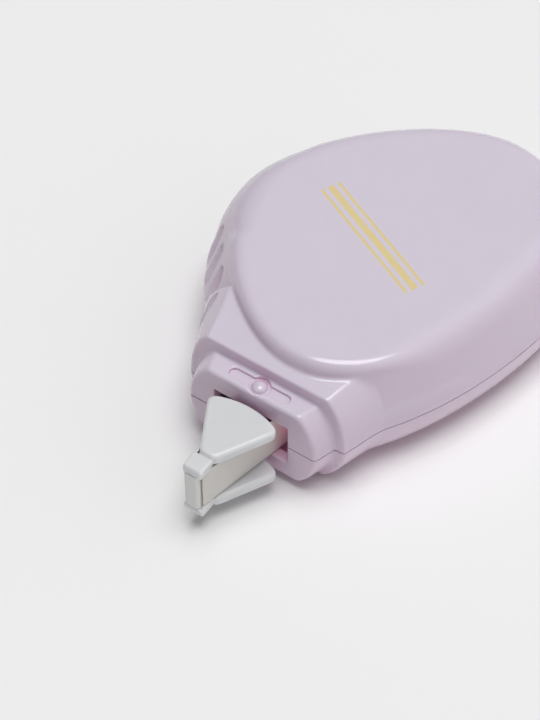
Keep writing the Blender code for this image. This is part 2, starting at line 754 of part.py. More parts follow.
def make_tape_runs(root, film, liner):
    wrap = CLEARANCE + TAPE_THICKNESS / 2
    supply = (SUPPLY_AXIS, ROLL_RADIUS + wrap, 1)
    guide_grip = ((GUIDE_X, GUIDE_GRIP_Y), GUIDE_RADIUS + wrap, -1)
    tip_grip = ((CORE_FRONT, CORE_GRIP), wrap, 1)
    tip_plain = ((CORE_FRONT, CORE_PLAIN), wrap, 1)
    guide_plain = ((GUIDE_X, GUIDE_PLAIN_Y), GUIDE_RADIUS + wrap, 1)
    take_up = (TAKE_UP_AXIS, SPENT_RADIUS + wrap, -1)
    outward = tape_path((supply, guide_grip, tip_grip, tip_plain, guide_plain))[:-1]
    back = tape_path((tip_plain, guide_plain, take_up))
    heading = line_heading(tip_plain, guide_plain)
    back[0] = (back[0][0] + CLEARANCE * cos(heading), back[0][1] + CLEARANCE * sin(heading))
    ribbon("film_run", outward, root, film)
    ribbon("liner_run", back, root, liner)


def main():
    clear_scene()
    root = empty("correction_tape", -CENTRE_X, -CENTRE_Y)
    supply_axis = empty("supply_axis", *SUPPLY_AXIS, root)
    take_up_axis = empty("take_up_axis", *TAKE_UP_AXIS, root)

    make_upper_case(root, material("upper_case_abs", LILAC, 0.3))
    make_lower_case(root, material("lower_case_abs", LILAC, 0.3))
    make_tip_head(root, material("tip_head_pom", WHITE, 0.4))

    supply_teeth = gear_outline(SUPPLY_TEETH, pi - radians(TRAIN_TURN), True)
    take_up_teeth = gear_outline(TAKE_UP_TEETH, -radians(TRAIN_TURN), False)
    gear_grey = material("supply_gear_pom", GREY_PLASTIC, 0.45)
    spool_grey = material("take_up_gear_pom", GREY_PLASTIC, 0.45)
    make_gear("supply_gear", supply_teeth, SUPPLY_BORE, HUB_RADIUS, supply_axis, gear_grey)
    make_gear("take_up_gear", take_up_teeth, TAKE_UP_BORE, SPOOL_RADIUS, take_up_axis, spool_grey)
    make_clutch_ring(supply_axis, material("clutch_ring_rubber", BLACK_RUBBER, 0.7))

    cap = tube("supply_cap", SUPPLY_BORE, CAP_RADIUS, CAP_BOTTOM, CAP_TOP, supply_axis)
    finish(cap, material("supply_cap_ps", NATURAL_PLASTIC, 0.35))
    reel = tube("supply_reel", REEL_BORE, REEL_RADIUS, REEL_BOTTOM, REEL_TOP, supply_axis)
    finish(reel, material("supply_reel_ps", NATURAL_PLASTIC, 0.4))
    roll = tube("supply_tape_roll", ROLL_INNER, ROLL_RADIUS, TAPE_BOTTOM, TAPE_TOP, supply_axis)
    finish(roll, material("supply_roll_film", FILM_WHITE, 0.6))
    flange = tube("take_up_flange", TAKE_UP_BORE, SPOOL_FLANGE_RADIUS, CAP_BOTTOM, CAP_TOP, take_up_axis)
    finish(flange, material("take_up_flange_ps", NATURAL_PLASTIC, 0.35))
    spent = tube("take_up_roll", SPENT_INNER, SPENT_RADIUS, TAPE_BOTTOM, TAPE_TOP, take_up_axis)
    finish(spent, material("take_up_roll_liner", LINER_GREIGE, 0.55))

    film = material("film_run_tape", FILM_WHITE, 0.6)
    liner = material("liner_run_tape", LINER_GREIGE, 0.55)
    make_tape_runs(root, film, liner)


main()
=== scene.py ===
"""Looks of the correction tape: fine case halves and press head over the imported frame, studio and camera.

Shapes are in millimetres: x runs back from the nozzle face, y towards the grip side, z up from the table.
"""

from itertools import product
from math import comb, cos, pi, radians, sin

import bpy
import numpy as np
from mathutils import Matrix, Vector


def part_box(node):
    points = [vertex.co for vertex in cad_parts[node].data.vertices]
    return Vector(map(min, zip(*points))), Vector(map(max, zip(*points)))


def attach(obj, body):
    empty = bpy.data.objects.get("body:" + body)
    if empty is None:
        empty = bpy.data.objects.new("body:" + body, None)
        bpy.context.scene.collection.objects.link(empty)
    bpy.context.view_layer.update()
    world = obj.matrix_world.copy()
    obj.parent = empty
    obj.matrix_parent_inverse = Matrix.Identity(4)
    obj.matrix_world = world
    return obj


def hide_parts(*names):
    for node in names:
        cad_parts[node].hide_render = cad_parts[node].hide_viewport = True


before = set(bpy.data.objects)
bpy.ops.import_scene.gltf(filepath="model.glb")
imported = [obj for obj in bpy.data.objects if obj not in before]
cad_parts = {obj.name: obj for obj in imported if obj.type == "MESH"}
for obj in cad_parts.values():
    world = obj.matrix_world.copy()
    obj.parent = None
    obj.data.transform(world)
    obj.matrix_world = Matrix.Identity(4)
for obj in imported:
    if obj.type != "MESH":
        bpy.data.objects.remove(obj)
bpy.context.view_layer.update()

MM = 0.001


def box(node):
    """Lowest and highest corner of a CAD node in millimetres."""
    low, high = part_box(node)
    return np.array(low) / MM, np.array(high) / MM


# Sizes read from the frame
CASE_LOW, CASE_HIGH = box("lower_case")
HEAD_LOW, HEAD_HIGH = box("tip_head")
TAPE_LOW, TAPE_HIGH = box("liner_run")
UPPER_LOW, UPPER_HIGH = box("upper_case")
ORIGIN = np.array((CASE_LOW[0], (HEAD_LOW[1] + HEAD_HIGH[1]) / 2, 0.0))
CASE_HEIGHT = UPPER_HIGH[2]
CAD_PARTING_GAP = 0.3
PARTING = UPPER_LOW[2] - CAD_PARTING_GAP / 2
TAPE_BOTTOM = TAPE_LOW[2]
TAPE_TOP = TAPE_HIGH[2]
TIP_FRONT = HEAD_LOW[0] - ORIGIN[0]
PLAIN_Y = CASE_LOW[1] - ORIGIN[1]
GRIP_Y = CASE_HIGH[1] - ORIGIN[1]
REAR_X = CASE_HIGH[0] - ORIGIN[0]

# Egg outlines at the parting line and at the dome: four poles, and how full each quarter is
BASE_POLES = np.array(((1.9, -3.7), (31.6, PLAIN_Y), (REAR_X, -4.3), (20.7, GRIP_Y)))
BASE_FULLNESS = (0.465, 0.53, 0.422, 0.517)
DOME_POLES = BASE_POLES + ((2.5, 2.2), (0.0, 2.5), (-1.9, -0.6), (1.9, -2.6))
DOME_FULLNESS = (0.64, 0.53, 0.4, 0.43)
DOME_BEND = 1.25
GRIP_BEND = 2.5
GRIP_BEND_Y = (4.0, 10.0)
GRIP_BEND_X = (13.0, 19.0)
GRIP_BEND_REAR_X = (30.0, 22.0)
DOME_UPRIGHT = 0.12
DOME_UPRIGHT_EASE = 0.5
OUTLINE_STEPS = 300
NEAREST_ROUNDS = 5
LEAST_STRETCH = 0.3
LEAST_RISE = 1e-6

# Dome edge: tight over the shoulder and the flank, wide along the plain side and the rear
FRONT_FILLET = 1.25
SIDE_FILLET = 2.8
FILLET_PLAIN_X = (7.0, 14.0)
FILLET_GRIP_X = (3.0, 26.0)
FILLET_Y = (-6.0, 6.0)

# Foot of the wall, from the table up to the parting line
WALL = 1.2
FOOT_INSET = 5.0
FOOT_FLAT_SHARE = 0.64
FOOT_UPRIGHT_SHARE = 0.57
FOOT_FILLET = 0.5
STEEPEST = 8.0

# Neck: shoulder and nozzle, half widths at the parting line and at the flat faces
SHOULDER_X = 2.4
SHOULDER_DEPTH = 4.6
SHOULDER_TAIL = 3.5
SHOULDER_GRIP_DEPTH = 6.3
SHOULDER_GRIP_TAIL = 1.2
SHOULDER_HALF = 9.2
SHOULDER_TOP_HALF = 6.7
SHOULDER_FLARE = 0.3
SHOULDER_DROP = 1.5
SHOULDER_TILT = 0.11
SHOULDER_LEVEL_X = 6.5
SHOULDER_BOTTOM = 0.7
SHOULDER_EDGE = 0.3
SHOULDER_GRIP_FLARE = 0.15
NOZZLE_HALF = 7.35
NOZZLE_TOP_HALF = 5.3
NOZZLE_FLARE = 0.32
NOZZLE_BACK = 4.8
NOZZLE_STEP = 1.9
NOZZLE_BOTTOM = 1.2
NOZZLE_EDGE = 0.42
NOZZLE_GRIP_SPREAD = 0.25
NECK_STEPS = 80
FACET_EDGE = 0.25
DOME_CREASE = 0.35
STEP_CREASE = 0.3
SHOULDER_TOP = CASE_HEIGHT - SHOULDER_DROP
NOZZLE_TOP = SHOULDER_TOP - NOZZLE_STEP
FLANK_RISE = (SHOULDER_TOP - PARTING) / (CASE_HEIGHT - PARTING)

# Mouth and gate slot
MOUTH_HALF = 4.32
MOUTH_MIDDLE = 0.24
MOUTH_PLAY = 0.2
MOUTH_DEPTH = 2.4
MOUTH_EDGE = 0.2
SLOT_X = 1.25
SLOT_LENGTH = 7.0
SLOT_WIDTH = 1.2
SLOT_DEPTH = 0.32
GATE_RADIUS = 1.1
GATE_DEPTH = 0.38
NUB_RADIUS = 0.8
NUB_RISE = 0.55
SLOT_EDGE = 0.16

# Grip side: a flank that falls away from the dome, level with the shoulder, with four leaf-shaped flutes
FLANK_FALL = 2.1
FLANK_SINK = 3.0
FLANK_X = (14.5, 21.0)
FLANK_Y = (7.0, 3.0)
FLANK_EDGE = 0.5
FLANK_CREASE = 0.1
FLUTE_COUNT = 4
FLUTE_FIRST_X = 14.55
FLUTE_PITCH = 2.6
FLUTE_HALF = (2.5, 0.95)
FLUTE_BLUNT = 4
FLUTE_DEPTH = 0.75
FLUTE_HEIGHT = 9.8
FLUTE_SLANT = radians(24.0)

# Parting joint
PARTING_GAP = 0.12
PARTING_EDGE = 0.1
LIP_INSET = 0.55
LIP_PLAY = 0.1
LIP_RISE = 0.6

# Posts of the lower half: axles of the reels, a post for the head's eye and two that guide the tape
AXLE_RADIUS = {"supply_gear": 1.6, "take_up_gear": 1.2}
AXLE_TOP = CASE_HIGH[2]
HEAD_POST_RADIUS = 0.8
GUIDE_PLACES = ((5.6, 4.7), (5.6, -2.0))
GUIDE_RADIUS = 1.0
GUIDE_RISE = 0.3
POST_EDGE = 0.2

# Press head
FAN_PLATE = 1.3
FAN_PLAY = 0.2
FAN_RADIUS = 8.8
FAN_HALF_ANGLE = radians(28.3)
FAN_APEX_HALF = 0.89
FAN_FACE_GAP = 0.45
FAN_CORNER = 1.0
FAN_EDGE = 0.45
TIP_LENGTH = 2.1
TIP_Y = (-0.75, 1.45)
TIP_SIDE = 0.5
TIP_FLANGE = 0.9
TIP_EDGE = 0.25
TIP_BROW = 0.6
CORE_HALF = 0.45
CORE_SETBACK = 0.5
CORE_FILL = 0.26
FLANGE_FILL = 0.14
HEAD_FILL = 0.3
WEB_HALF = 1.5
TAIL_END = 3.0
TAIL_HALF = 1.05
TAIL_PLAY = 0.6
TAIL_EYE_RADIUS = 1.7
TAIL_EYE_BORE = 1.1

# Tape
TAPE_EDGE = 0.03
TAPE_JOIN = 0.93
TAPE_NOSE = 0.6
TAPE_END_POINTS = 4

# Camera
CAMERA_AZIMUTH = -55.5
CAMERA_ELEVATION = 51.0
CAMERA_DISTANCE = 248.7
CAMERA_TARGET = (12.12, 6.24, 0.0)
CAMERA_LENS = 120.0
CAMERA_SENSOR = 36.0
CAMERA_CLIP = (0.01, 20.0)

# Floor, room and overhead light, in metres and watts
FLOOR_REACH = 3.0
ROOM_SIDE = (0.4, -0.9, 0.0)
ROOM_DARK = 0.0
ROOM_LIGHT = 0.62
SOFTBOX_PLACE = (0.0, -0.06, 1.0)
SOFTBOX_SIZE = (0.6, 0.6)
SOFTBOX_POWER = 7.4

# Light that soaks through the case, in millimetres
SOAKED_PLACE = (2.4, -4.9, 7.0)
SOAKED_RADIUS = 0.5
SOAKED_POWER = 7e-5
SOAKED_COLOUR = "ff96bc"


# Field helpers: a field is below zero inside a shape and grows about one per millimetre outwards


def smooth_max(a, b, size):
    """The larger field, with the edge between the two eased over size."""
    bend = np.maximum(size - np.abs(a - b), 0) / size
    return np.maximum(a, b) + bend * bend * size / 4


def smooth_min(a, b, size):
    return -smooth_max(-a, -b, size)


def ramp(value, start, end):
    """Eased step from 0 at start to 1 at end."""
    t = np.clip((value - start) / (end - start), 0, 1)
    return t * t * (3 - 2 * t)


def bezier(points, steps):
    t = np.linspace(0, 1, steps + 1)[:, None]
    order = len(points) - 1
    shares = [comb(order, k) * (1 - t) ** (order - k) * t**k for k in range(order + 1)]
    return sum(share * np.array(point, float) for share, point in zip(shares, points))


def slab(value, low, high):
    return np.maximum(low - value, value - high)


# Outlines and foot as tables


def egg_table(poles, fullness):
    """An egg outline, counterclockwise: arc length and angle once round, middle and columns to look up."""
    pieces = []
    for k, full in enumerate(fullness):
        start, end = poles[k], poles[(k + 1) % 4]
        corner = np.array((end[0], start[1]) if k % 2 else (start[0], end[1]))
        handles = [pole + full * (corner - pole) for pole in (start, end)]
        pieces.append(bezier((start, *handles, end), OUTLINE_STEPS)[:-1])
    points = np.vstack(pieces)
    run = np.roll(points, -1, axis=0) - np.roll(points, 1, axis=0)
    run /= np.linalg.norm(run, axis=1)[:, None]
    step = np.linalg.norm(np.roll(points, -1, axis=0) - points, axis=1)
    length = np.concatenate(((0.0,), np.cumsum(step)))
    heading = np.unwrap(np.arctan2(run[:, 1], run[:, 0]))
    curvature = np.gradient(heading, length[:-1])
    middle = points.mean(axis=0)
    angle = np.unwrap(np.arctan2(*(points - middle).T[::-1]))
    angle = np.append(angle, angle[0] + 2 * pi)
    return length, angle, middle, (*points.T, run[:, 1], -run[:, 0], curvature)


BASE_EGG = egg_table(BASE_POLES, BASE_FULLNESS)
DOME_EGG = egg_table(DOME_POLES, DOME_FULLNESS)


def egg_distance(egg, x, y):
    """How far a point lies outside an outline, and where along the outline its nearest point is."""
    length, angle, middle, columns = egg
    total = length[-1]
    turn = np.arctan2(y - middle[1], x - middle[0]) - angle[0]
    s = np.interp(turn % (2 * pi), angle - angle[0], length)
    for _ in range(NEAREST_ROUNDS):
        px, py, nx, ny, bend = (np.interp(s, length[:-1], column, period=total) for column in columns)
        outward = (x - px) * nx + (y - py) * ny
        along = (y - py) * nx - (x - px) * ny
        s = s + along / np.maximum(1 + outward * bend, LEAST_STRETCH)
    return outward, s % total


def foot_table():
    """Heights, insets and slopes of the wall below the parting line."""
    curve = (
        (FOOT_INSET, 0),
        (FOOT_INSET * (1 - FOOT_FLAT_SHARE), 0),
        (0, PARTING * (1 - FOOT_UPRIGHT_SHARE)),
        (0, PARTING),
    )
    inset, height = bezier(curve, OUTLINE_STEPS).T
    return height, inset, np.clip(np.gradient(inset, height), -STEEPEST, STEEPEST)


FOOT_Z, FOOT_IN, FOOT_SLOPE = foot_table()


def flute_places():
    """Arc lengths of the flute middles on the grip side."""
    length, columns = BASE_EGG[0], BASE_EGG[3]
    quarter = slice(3 * OUTLINE_STEPS, 4 * OUTLINE_STEPS)
    x = FLUTE_FIRST_X - FLUTE_PITCH * np.arange(FLUTE_COUNT)
    return np.interp(x, columns[0][quarter][::-1], length[quarter][::-1])


FLUTE_S = flute_places()


# Case fields


def flute_carving(s, z):
    """Depth of the leaf-shaped flutes."""
    carving = 0.0
    for place in FLUTE_S:
        along = (z - FLUTE_HEIGHT) * cos(FLUTE_SLANT) - (s - place) * sin(FLUTE_SLANT)
        across = (s - place) * cos(FLUTE_SLANT) + (z - FLUTE_HEIGHT) * sin(FLUTE_SLANT)
        length = np.abs(along / FLUTE_HALF[0])
        length = np.where(along > 0, length**FLUTE_BLUNT, length**2)
        leaf = 1 - length - (across / FLUTE_HALF[1]) ** 2
        carving = carving + FLUTE_DEPTH * np.maximum(leaf, 0)
    return carving


def wall_field(z, base, dome, bend, upright_share):
    """The wall: a rounded foot, then a lean from the base outline in to the dome outline."""
    rise = np.maximum(z - PARTING, 0) / (CASE_HEIGHT - PARTING)
    share = smooth_min(rise**bend, upright_share, DOME_UPRIGHT)
    lean = bend * np.maximum(rise, LEAST_RISE) ** (bend - 1) / (CASE_HEIGHT - PARTING)
    lean = lean * (rise > 0) * ramp(SHOULDER_TOP - z, -DOME_UPRIGHT_EASE, DOME_UPRIGHT_EASE)
    steep = lean * (dome - base) + np.interp(z, FOOT_Z, FOOT_SLOPE) * (z < PARTING)
    wall = base + share * (dome - base) + np.interp(z, FOOT_Z, FOOT_IN)
    return wall / np.sqrt(1 + np.clip(steep, -STEEPEST, STEEPEST) ** 2)


def dome_fillet(x, y):
    """How wide the dome edge is rounded at a place in the plan."""
    plain, grip = ramp(x, *FILLET_PLAIN_X), ramp(x, *FILLET_GRIP_X)
    return FRONT_FILLET + (SIDE_FILLET - FRONT_FILLET) * (plain + (grip - plain) * ramp(y, *FILLET_Y))


def flank_field(x, y, z, base, out):
    """The bevel above the flutes. It falls away from the dome and ends at the base outline."""
    sink = FLANK_SINK * (ramp(x, *FLANK_X) + ramp(y, *FLANK_Y))
    bevel = (z - SHOULDER_TOP + sink + FLANK_FALL * out) / np.hypot(1, FLANK_FALL)
    return smooth_max(bevel, base + np.interp(z, FOOT_Z, FOOT_IN), FLANK_EDGE)


def body_field(x, y, z):
    """The egg body: a wall that leans in to the dome outline, with the flank on the grip side."""
    base, _ = egg_distance(BASE_EGG, x, y)
    dome, _ = egg_distance(DOME_EGG, x, y)
    fuller = ramp(y, *GRIP_BEND_Y) * ramp(x, *GRIP_BEND_X) * ramp(x, *GRIP_BEND_REAR_X)
    bend = DOME_BEND + (GRIP_BEND - DOME_BEND) * fuller
    flank_share = FLANK_RISE**bend
    side = wall_field(z, base, dome, bend, flank_share + fuller)
    domed = smooth_max(side, z - CASE_HEIGHT, dome_fillet(x, y))
    flank = flank_field(x, y, z, base, np.maximum(base + flank_share * (dome - base), 0))
    return smooth_max(smooth_min(domed, flank, FLANK_CREASE), -z, FOOT_FILLET)


def neck_field(x, y, z, front, back, half, flat, spread, grip_spread, top, bottom, edge):
    """A neck block: flat top and bottom, flanks that bend from 45 degrees to upright at the parting line."""
    slope = half - flat
    v = np.linspace(0, 1, NECK_STEPS)
    upper = top * v**2 + 2 * (top - slope) * v * (1 - v) + PARTING * (1 - v) ** 2
    lower = bottom * v**2 + 2 * (bottom + slope) * v * (1 - v) + PARTING * (1 - v) ** 2
    heights = np.concatenate((lower[:0:-1], upper))
    bends = np.concatenate((v[:0:-1], v)) ** 2
    steep = slope * np.interp(z, heights, np.gradient(bends, heights))
    bend = np.interp(z, heights, bends)
    limit = half + spread - slope * bend + grip_spread * (1 - bend) * (y > 0)
    side = (np.abs(y) - limit) / np.sqrt(1 + steep**2)
    block = smooth_max(side, slab(z, bottom, top), FACET_EDGE)
    block = smooth_max(block, front - x, edge)
    return np.maximum(block, x - back)


def outer_field(x, y, z):
    """The closed outside of the case."""
    depth = np.where(y > 0, SHOULDER_GRIP_DEPTH, SHOULDER_DEPTH)
    tail = np.where(y > 0, SHOULDER_GRIP_TAIL, SHOULDER_TAIL)
    middle = SHOULDER_X + depth
    run = np.minimum(x, middle) - SHOULDER_X - depth / tail * np.maximum(x - middle, 0)
    shoulder = neck_field(
        x, y, z, SHOULDER_X, middle + tail, SHOULDER_HALF, SHOULDER_TOP_HALF,
        SHOULDER_FLARE * run, SHOULDER_GRIP_FLARE * run, SHOULDER_TOP, SHOULDER_BOTTOM, SHOULDER_EDGE,
    )
    tilted = z - SHOULDER_TOP + SHOULDER_TILT * np.maximum(SHOULDER_LEVEL_X - x, 0)
    shoulder = smooth_max(shoulder, tilted, FACET_EDGE)
    nozzle = neck_field(
        x, y, z, 0.0, NOZZLE_BACK, NOZZLE_HALF, NOZZLE_TOP_HALF,
        NOZZLE_FLARE * x, NOZZLE_GRIP_SPREAD, NOZZLE_TOP, NOZZLE_BOTTOM, NOZZLE_EDGE,
    )
    case = smooth_min(body_field(x, y, z), shoulder, DOME_CREASE)
    case = case + flute_carving(egg_distance(BASE_EGG, x, y)[1], z) * (y > FLANK_Y[0])
    return smooth_min(case, nozzle, STEP_CREASE)


def gate_field(x, y, z):
    """The recessed slot on the nozzle top, with a round recess in its middle."""
    straight = (SLOT_LENGTH - SLOT_WIDTH) / 2
    slot = np.hypot(x - SLOT_X, np.maximum(np.abs(y) - straight, 0)) - SLOT_WIDTH / 2
    recess = np.hypot(x - SLOT_X, y) - GATE_RADIUS
    slot = np.maximum(slot, NOZZLE_TOP - SLOT_DEPTH - z)
    recess = np.maximum(recess, NOZZLE_TOP - GATE_DEPTH - z)
    return smooth_min(slot, recess, SLOT_EDGE)


def nub_field(x, y, z):
    """A round nub in the middle of the recess."""
    around = np.hypot(x - SLOT_X, y) / NUB_RADIUS
    return (np.hypot(around, (z - NOZZLE_TOP + GATE_DEPTH) / NUB_RISE) - 1) * NUB_RISE


def shell_field(x, y, z):
    """The hollow case before it is parted."""
    outer = outer_field(x, y, z)
    solid = smooth_max(outer, -gate_field(x, y, z), SLOT_EDGE)
    solid = smooth_min(solid, nub_field(x, y, z), SLOT_EDGE)
    mouth = np.maximum(np.abs(y - MOUTH_MIDDLE) - MOUTH_HALF, x - MOUTH_DEPTH)
    mouth = np.maximum(mouth, slab(z, TAPE_BOTTOM - MOUTH_PLAY, TAPE_TOP + MOUTH_PLAY))
    solid = smooth_max(solid, -mouth, MOUTH_EDGE)
    return smooth_max(solid, -(outer + WALL), MOUTH_EDGE), outer


def upper_field(x, y, z):
    """The upper half, with a rebate inside its rim for the lip of the lower half."""
    shell, outer = shell_field(x, y, z)
    rebate = np.maximum(outer + LIP_INSET, z - PARTING - LIP_RISE - LIP_PLAY)
    half = np.maximum(shell, -rebate)
    return smooth_max(half, PARTING + PARTING_GAP / 2 - z, PARTING_EDGE)


def axis_of(gear):
    """Where a gear's axis stands in the plan."""
    return (sum(box(gear)) / 2 - ORIGIN)[:2]


POSTS = [(axis_of(gear), radius, AXLE_TOP) for gear, radius in AXLE_RADIUS.items()]
POSTS += [(place, GUIDE_RADIUS, TAPE_TOP + GUIDE_RISE) for place in GUIDE_PLACES]
POSTS += [((TAIL_END, 0.0), HEAD_POST_RADIUS, TAPE_TOP)]


def posts_field(x, y, z, outer):
    """Round posts that stand in the floor of the lower half."""
    shafts = np.inf
    for place, radius, top in POSTS:
        shaft = smooth_max(np.hypot(x - place[0], y - place[1]) - radius, z - top, POST_EDGE)
        shafts = np.minimum(shafts, shaft)
    return np.maximum(shafts, outer + WALL / 2)


def lower_field(x, y, z):
    """The lower half, with a lip inside its rim and the posts."""
    shell, outer = shell_field(x, y, z)
    half = smooth_max(shell, z - PARTING + PARTING_GAP / 2, PARTING_EDGE)
    lip = np.maximum(shell, outer + LIP_INSET + LIP_PLAY)
    lip = np.maximum(lip, slab(z, PARTING - LIP_RISE, PARTING + LIP_RISE))
    return np.minimum(np.minimum(half, lip), posts_field(x, y, z, outer))


# Head fields

LOW_PLATE = TAPE_BOTTOM - FAN_PLAY
HIGH_PLATE = TAPE_TOP + FAN_PLAY
FAN_CENTRE = -FAN_FACE_GAP - FAN_RADIUS
FAN_APEX = FAN_CENTRE + FAN_APEX_HALF / np.tan(FAN_HALF_ANGLE)


def fan_field(x, y, z):
    """Two fan-shaped plates, one below and one above the tape."""
    arc = np.hypot(x - FAN_CENTRE, y) - FAN_RADIUS
    edges = np.abs(y) * cos(FAN_HALF_ANGLE) - (x - FAN_CENTRE) * sin(FAN_HALF_ANGLE)
    fan = smooth_max(smooth_max(arc, edges, FAN_CORNER), FAN_APEX - x, FAN_EDGE)
    plates = np.minimum(
        slab(z, LOW_PLATE - FAN_PLATE, LOW_PLATE),
        slab(z, HIGH_PLATE, HIGH_PLATE + FAN_PLATE),
    )
    return smooth_max(fan, plates, FAN_EDGE)


def web_field(x, y, z):
    """The web between the plates, which narrows to the core of the tip."""
    widen = np.clip((x - FAN_APEX) / (-FAN_FACE_GAP - FAN_APEX), 0, 1)
    middle = TIP_SIDE * (1 - widen)
    half = CORE_HALF + CORE_FILL + (WEB_HALF - CORE_HALF - CORE_FILL) * widen
    web = smooth_max(
        np.abs(y - middle) - half,
        slab(x, TIP_FRONT + CORE_SETBACK - CORE_FILL, -FAN_FACE_GAP),
        CORE_FILL,
    )
    return smooth_max(web, slab(z, LOW_PLATE - TIP_EDGE, HIGH_PLATE + TIP_EDGE), TIP_EDGE)


def tip_field(x, y, z):
    """The two flanges of the press tip, one below and one above the tape."""
    tip = smooth_max(slab(y, *TIP_Y), slab(x, TIP_FRONT, TIP_FRONT + TIP_LENGTH), TIP_EDGE)
    brow = smooth_max(slab(z, LOW_PLATE - TIP_FLANGE, HIGH_PLATE + TIP_FLANGE), TIP_FRONT - x, TIP_BROW)
    throat = slab(z, LOW_PLATE + FLANGE_FILL, HIGH_PLATE - FLANGE_FILL)
    return smooth_max(smooth_max(tip, brow, TIP_EDGE), -throat, FLANGE_FILL)


def tail_field(x, y, z):
    """The tail behind the fan, with an eye for the head post."""
    tail = np.maximum(np.abs(y) - TAIL_HALF, slab(x, -2 * FAN_FACE_GAP, TAIL_END))
    eye = np.hypot(x - TAIL_END, y)
    tail = np.maximum(np.minimum(tail, eye - TAIL_EYE_RADIUS), TAIL_EYE_BORE - eye)
    return np.maximum(tail, slab(z, TAPE_BOTTOM + TAIL_PLAY, TAPE_TOP - TAIL_PLAY))


def head_field(x, y, z):
    """Two fan plates on a web, a flanged press tip and a tail with an eye."""
    plates = smooth_min(fan_field(x, y, z), tip_field(x, y, z), HEAD_FILL)
    return np.minimum(plates, np.minimum(web_field(x, y, z), tail_field(x, y, z)))


# Meshing

CORNERS = list(product((0, 1), repeat=3))
SLOPE_REACH = 0.004
SETTLE_ROUNDS = 3
EVENING = 0.5
LEAST_SLOPE = 0.05
LONGEST_MOVE = 0.2


def grid_lines(*stretches):
    """Grid positions over (start, end, step) stretches that follow each other."""
    lines = [np.arange(start, end - step / 2, step) for start, end, step in stretches]
    return np.concatenate((*lines, (stretches[-1][1],)))


def slope_of(field, points):
    """The field and its slope at scattered points."""
    here = field(*points.T)
    slope = np.empty_like(points)
    for axis in range(3):
        moved = points.copy()
        moved[:, axis] += SLOPE_REACH
        slope[:, axis] = (field(*moved.T) - here) / SLOPE_REACH
    return here, slope


def net_points(values, axes, cells):
    """A point for each cell that the surface crosses: the mean of the crossings on the cell's edges."""
    total = np.zeros((len(cells), 3))
    crossings = np.zeros(len(cells))
    for a, b in product(CORNERS, CORNERS):
        if sum(abs(p - q) for p, q in zip(a, b)) != 1 or a > b:
            continue
        ends = [tuple((cells + corner).T) for corner in (a, b)]
        first, second = values[ends[0]], values[ends[1]]
        crossed = (first < 0) != (second < 0)
        share = np.where(crossed, first / np.where(crossed, first - second, 1), 0)
        for axis in range(3):
            low, high = axes[axis][ends[0][axis]], axes[axis][ends[1][axis]]
            total[:, axis] += np.where(crossed, low + share * (high - low), 0)
        crossings += crossed
    return total / crossings[:, None]


def net_quads(inside, index, axis):
    """A quad round each grid edge along one axis that the surface crosses, facing outwards."""
    near = [slice(None)] * 3
    far = [slice(None)] * 3
    near[axis], far[axis] = slice(0, -1), slice(1, None)
    edges = np.argwhere(inside[tuple(near)] != inside[tuple(far)])
    u, v = (axis + 1) % 3, (axis + 2) % 3
    inner = (edges[:, u] > 0) & (edges[:, v] > 0)
    inner &= (edges[:, u] < index.shape[u]) & (edges[:, v] < index.shape[v])
    edges = edges[inner]
    ring = []
    for du, dv in ((-1, -1), (0, -1), (0, 0), (-1, 0)):
        cell = edges.copy()
        cell[:, u] += du
        cell[:, v] += dv
        ring.append(index[tuple(cell.T)])
    ring = np.stack(ring, axis=1)
    starts_inside = inside[tuple(edges.T)]
    return np.where(starts_inside[:, None], ring, ring[:, ::-1])


def settle(field, points, quads):
    """Evens out the net and draws it onto the surface."""
    pairs = np.vstack([np.stack((quads[:, k], quads[:, (k + 1) % 4]), axis=1) for k in range(4)])
    degree = np.bincount(pairs[:, 0], minlength=len(points))
    for turn in range(SETTLE_ROUNDS):
        if turn < SETTLE_ROUNDS - 1:
            middle = np.stack(
                [np.bincount(pairs[:, 0], points[pairs[:, 1], k], len(points)) for k in range(3)], axis=1
            )
            points = points + EVENING * (middle / degree[:, None] - points)
        here, slope = slope_of(field, points)
        size = np.maximum((slope**2).sum(axis=1), LEAST_SLOPE)
        points = points - slope * np.clip(here / size, -LONGEST_MOVE, LONGEST_MOVE)[:, None]
    return points


def surface_net(field, axes):
    """Points, quads and normals of the surface where the field is zero."""
    values = field(axes[0][:, None, None], axes[1][None, :, None], axes[2][None, None, :])
    inside = values < 0
    counts = np.zeros(tuple(n - 1 for n in values.shape), np.int8)
    for corner in CORNERS:
        counts += inside[tuple(slice(c, c + n) for c, n in zip(corner, counts.shape))]
    cells = np.argwhere((counts > 0) & (counts < len(CORNERS)))
    index = np.full(counts.shape, -1)
    index[tuple(cells.T)] = np.arange(len(cells))
    quads = np.vstack([net_quads(inside, index, axis) for axis in range(3)])
    points = settle(field, net_points(values, axes, cells), quads)
    slope = slope_of(field, points)[1]
    return points, quads, slope / np.linalg.norm(slope, axis=1)[:, None]


def piece(name, field, axes, stands_for, surface):
    """A fine piece in place of a CAD node of the case body."""
    points, quads, normals = surface_net(field, axes)
    mesh = bpy.data.meshes.new(name)
    mesh.from_pydata((points + ORIGIN) * MM, [], quads)
    mesh.shade_smooth()
    mesh.normals_split_custom_set_from_vertices(normals)
    made = bpy.data.objects.new(name, mesh)
    bpy.context.scene.collection.objects.link(made)
    mesh.materials.append(surface)
    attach(made, "case")
    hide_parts(stands_for)
